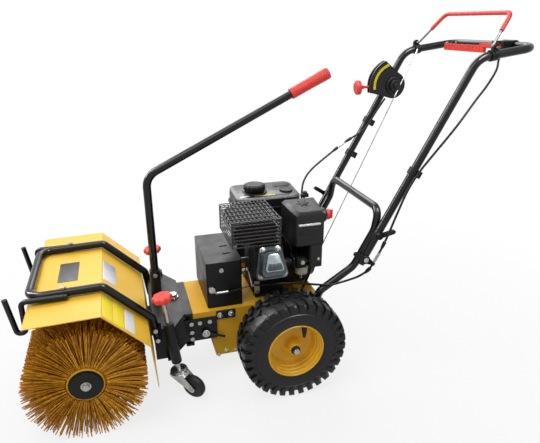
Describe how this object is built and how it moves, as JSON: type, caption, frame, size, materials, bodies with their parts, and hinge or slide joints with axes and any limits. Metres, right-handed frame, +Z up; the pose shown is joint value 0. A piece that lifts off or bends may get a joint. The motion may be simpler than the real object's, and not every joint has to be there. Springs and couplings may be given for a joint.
{
  "type": "power brush sweeper",
  "caption": "Walk-behind petrol brush sweeper: swivelling hooded brush on casters, engine over driven wheels, folding handle with throttle, clutch lever and bail.",
  "frame": {"origin": "On the ground under the middle of the machine, below the wheel axle.", "axes": "+X runs back from the brush to the handle, +Y to the machine's right, +Z up."},
  "size_m": [1.59, 0.608, 1.1254],
  "materials": {
    "yellow_paint": "powder coat, satin gloss",
    "black_paint": "gloss powder coat",
    "black_plastic": "fine grained",
    "dark_plastic": "satin moulded",
    "engine_cast": "dark painted casting",
    "silver_cast": "silver painted casting",
    "zinc": "zinc plated",
    "steel": "turned",
    "tyre_rubber": "matte",
    "rubber": "matte",
    "red_plastic": "moulded",
    "bristle": "drawn monofilament",
    "cable_skin": "extruded"
  },
  "bodies": {
    "machine": {"chassis": "yellow_paint", "axle_gearbox": "engine_cast", "hitch": "black_paint", "frame_bolts": "zinc", "belt_cover": "black_paint", "engine_block": "engine_cast", "valve_cover": "silver_cast", "muffler": "black_paint", "muffler_guard": "black_paint", "air_box": "dark_plastic", "carburettor": "silver_cast", "fuel_tank": "dark_plastic", "fan_housing": "black_plastic", "drive_belt": "rubber", "lower_handle": "black_paint", "throttle_cable": "cable_skin", "drive_wire": "steel", "clutch_cable": "cable_skin"},
    "lock": {"lock_handle": "black_paint"},
    "wheels": {"axle": "zinc", "rim_left": "yellow_paint", "rim_right": "yellow_paint", "tyre_left": "tyre_rubber", "tyre_right": "tyre_rubber"},
    "crank": {"crank_pulley": "steel"},
    "pto": {"driven_pulley": "steel", "pto_shaft": "steel"},
    "arm": {"clutch_arm": "zinc"},
    "cap": {"fuel_cap": "black_plastic"},
    "stop": {"stop_knob": "red_plastic"},
    "head": {"head_bracket": "black_paint", "hood": "yellow_paint", "guard_frame": "black_paint", "lever_tube": "black_paint", "lever_grip": "red_plastic", "head_bolts": "zinc", "gearbox": "engine_cast"},
    "worm": {"worm_shaft": "steel"},
    "brush": {"brush_shaft": "zinc", "brush_left": "bristle", "brush_right": "bristle", "end_discs": "black_plastic"},
    "handle": {"upper_handle": "black_paint", "handle_clips": "black_plastic", "throttle_console": "dark_plastic", "clutch_housing": "black_plastic"},
    "throttle": {"throttle_lever": "red_plastic"},
    "clutch": {"clutch_lever": "red_plastic"},
    "bail": {"bail_rod": "zinc", "bail_grip": "red_plastic"},
    "cam_left": {"cam_lever_left": "black_plastic"},
    "cam_right": {"cam_lever_right": "black_plastic"},
    "caster_stem_left": {"caster_stem_left": "zinc"},
    "caster_knob_left": {"caster_knob_left": "red_plastic"},
    "caster_fork_left": {"caster_fork_left": "zinc"},
    "caster_wheel_left": {"caster_wheel_left": "rubber"},
    "caster_stem_right": {"caster_stem_right": "zinc"},
    "caster_knob_right": {"caster_knob_right": "red_plastic"},
    "caster_fork_right": {"caster_fork_right": "zinc"},
    "caster_wheel_right": {"caster_wheel_right": "rubber"}
  },
  "joints": [
    {"name": "wheel_spin", "type": "hinge", "parent": "machine", "child": "wheels", "pos_m": [0, 0, 0.165], "axis": [0, 1, 0], "continuous": true},
    {"name": "crank_spin", "type": "hinge", "parent": "machine", "child": "crank", "pos_m": [-0.19, 0, 0.345], "axis": [1, 0, 0], "continuous": true},
    {"name": "pto_spin", "type": "hinge", "parent": "machine", "child": "pto", "pos_m": [-0.19, 0, 0.167], "axis": [1, 0, 0], "continuous": true},
    {"name": "clutch_arm_turn", "type": "hinge", "parent": "machine", "child": "arm", "pos_m": [-0.216, -0.101, 0.305], "axis": [0, -1, 0], "range_deg": [0, 12]},
    {"name": "fuel_cap_turn", "type": "hinge", "parent": "machine", "child": "cap", "pos_m": [-0.015, 0.118, 0.546], "axis": [0, 0, 1], "range_deg": [0, 90]},
    {"name": "stop_turn", "type": "hinge", "parent": "machine", "child": "stop", "pos_m": [0.16, -0.104, 0.52], "axis": [1, 0, 0], "range_deg": [0, 60]},
    {"name": "lock_turn", "type": "hinge", "parent": "machine", "child": "lock", "pos_m": [-0.245, -0.1223, 0.165], "axis": [0, 1, 0], "range_deg": [0, 75]},
    {"name": "head_swivel", "type": "hinge", "parent": "machine", "child": "head", "pos_m": [-0.332, 0, 0.167], "axis": [0, 0, 1], "range_deg": [-15, 15]},
    {"name": "worm_spin", "type": "hinge", "parent": "head", "child": "worm", "pos_m": [-0.45, 0, 0.167], "axis": [1, 0, 0], "continuous": true},
    {"name": "brush_spin", "type": "hinge", "parent": "head", "child": "brush", "pos_m": [-0.605, 0, 0.168], "axis": [0, 1, 0], "continuous": true},
    {"name": "caster_lift_left", "type": "slide", "parent": "head", "child": "caster_stem_left", "axis": [-0.1219, 0, 0.9925], "range_m": [-0.03, 0.02]},
    {"name": "caster_knob_turn_left", "type": "hinge", "parent": "caster_stem_left", "child": "caster_knob_left", "pos_m": [-0.33845, -0.18, 0.03848], "axis": [-0.1219, 0, 0.9925], "continuous": true},
    {"name": "caster_swivel_left", "type": "hinge", "parent": "caster_stem_left", "child": "caster_fork_left", "pos_m": [-0.33845, -0.18, 0.03848], "axis": [-0.1219, 0, 0.9925], "continuous": true},
    {"name": "caster_roll_left", "type": "hinge", "parent": "caster_fork_left", "child": "caster_wheel_left", "pos_m": [-0.30401, -0.21078, 0.03848], "axis": [0.6641, 0.7431, 0.0815], "continuous": true},
    {"name": "caster_lift_right", "type": "slide", "parent": "head", "child": "caster_stem_right", "axis": [-0.1219, 0, 0.9925], "range_m": [-0.03, 0.02]},
    {"name": "caster_knob_turn_right", "type": "hinge", "parent": "caster_stem_right", "child": "caster_knob_right", "pos_m": [-0.33845, 0.18, 0.03848], "axis": [-0.1219, 0, 0.9925], "continuous": true},
    {"name": "caster_swivel_right", "type": "hinge", "parent": "caster_stem_right", "child": "caster_fork_right", "pos_m": [-0.33845, 0.18, 0.03848], "axis": [-0.1219, 0, 0.9925], "continuous": true},
    {"name": "caster_roll_right", "type": "hinge", "parent": "caster_fork_right", "child": "caster_wheel_right", "pos_m": [-0.30401, 0.21078, 0.03848], "axis": [-0.6641, 0.7431, -0.0815], "continuous": true},
    {"name": "handle_fold", "type": "hinge", "parent": "machine", "child": "handle", "pos_m": [0.253, 0, 0.4], "axis": [0, 1, 0], "range_deg": [0, 75], "deforming": ["clutch_cable", "throttle_cable", "drive_wire"]},
    {"name": "throttle_turn", "type": "hinge", "parent": "handle", "child": "throttle", "pos_m": [0.52, 0.178, 0.881], "axis": [0, 1, 0], "range_deg": [0, 60]},
    {"name": "clutch_squeeze", "type": "hinge", "parent": "handle", "child": "clutch", "pos_m": [0.74207, -0.092, 1.02258], "axis": [0, 0, -1], "range_deg": [0, 6], "stiffness_Nm_per_rad": 8},
    {"name": "bail_turn", "type": "hinge", "parent": "handle", "child": "bail", "pos_m": [0.62565, 0, 1.0239], "axis": [0, 1, 0], "range_deg": [0, 40], "stiffness_Nm_per_rad": 1.5, "springref_deg": -20.05},
    {"name": "cam_turn_left", "type": "hinge", "parent": "handle", "child": "cam_left", "pos_m": [0.2943, -0.22, 0.47543], "axis": [0, 1, 0], "range_deg": [0, 170]},
    {"name": "cam_turn_right", "type": "hinge", "parent": "handle", "child": "cam_right", "pos_m": [0.2943, 0.22, 0.47543], "axis": [0, 1, 0], "range_deg": [-170, 0]}
  ],
  "couplings": [
    {"joint": "pto_spin", "follows": "brush_spin", "ratio": 10},
    {"joint": "worm_spin", "follows": "brush_spin", "ratio": 10},
    {"joint": "clutch_arm_turn", "follows": "clutch_squeeze", "ratio": 2},
    {"joint": "caster_knob_turn_left", "follows": "caster_lift_left", "rad_per_m": -1570.8},
    {"joint": "caster_knob_turn_right", "follows": "caster_lift_right", "rad_per_m": -1570.8}
  ]
}
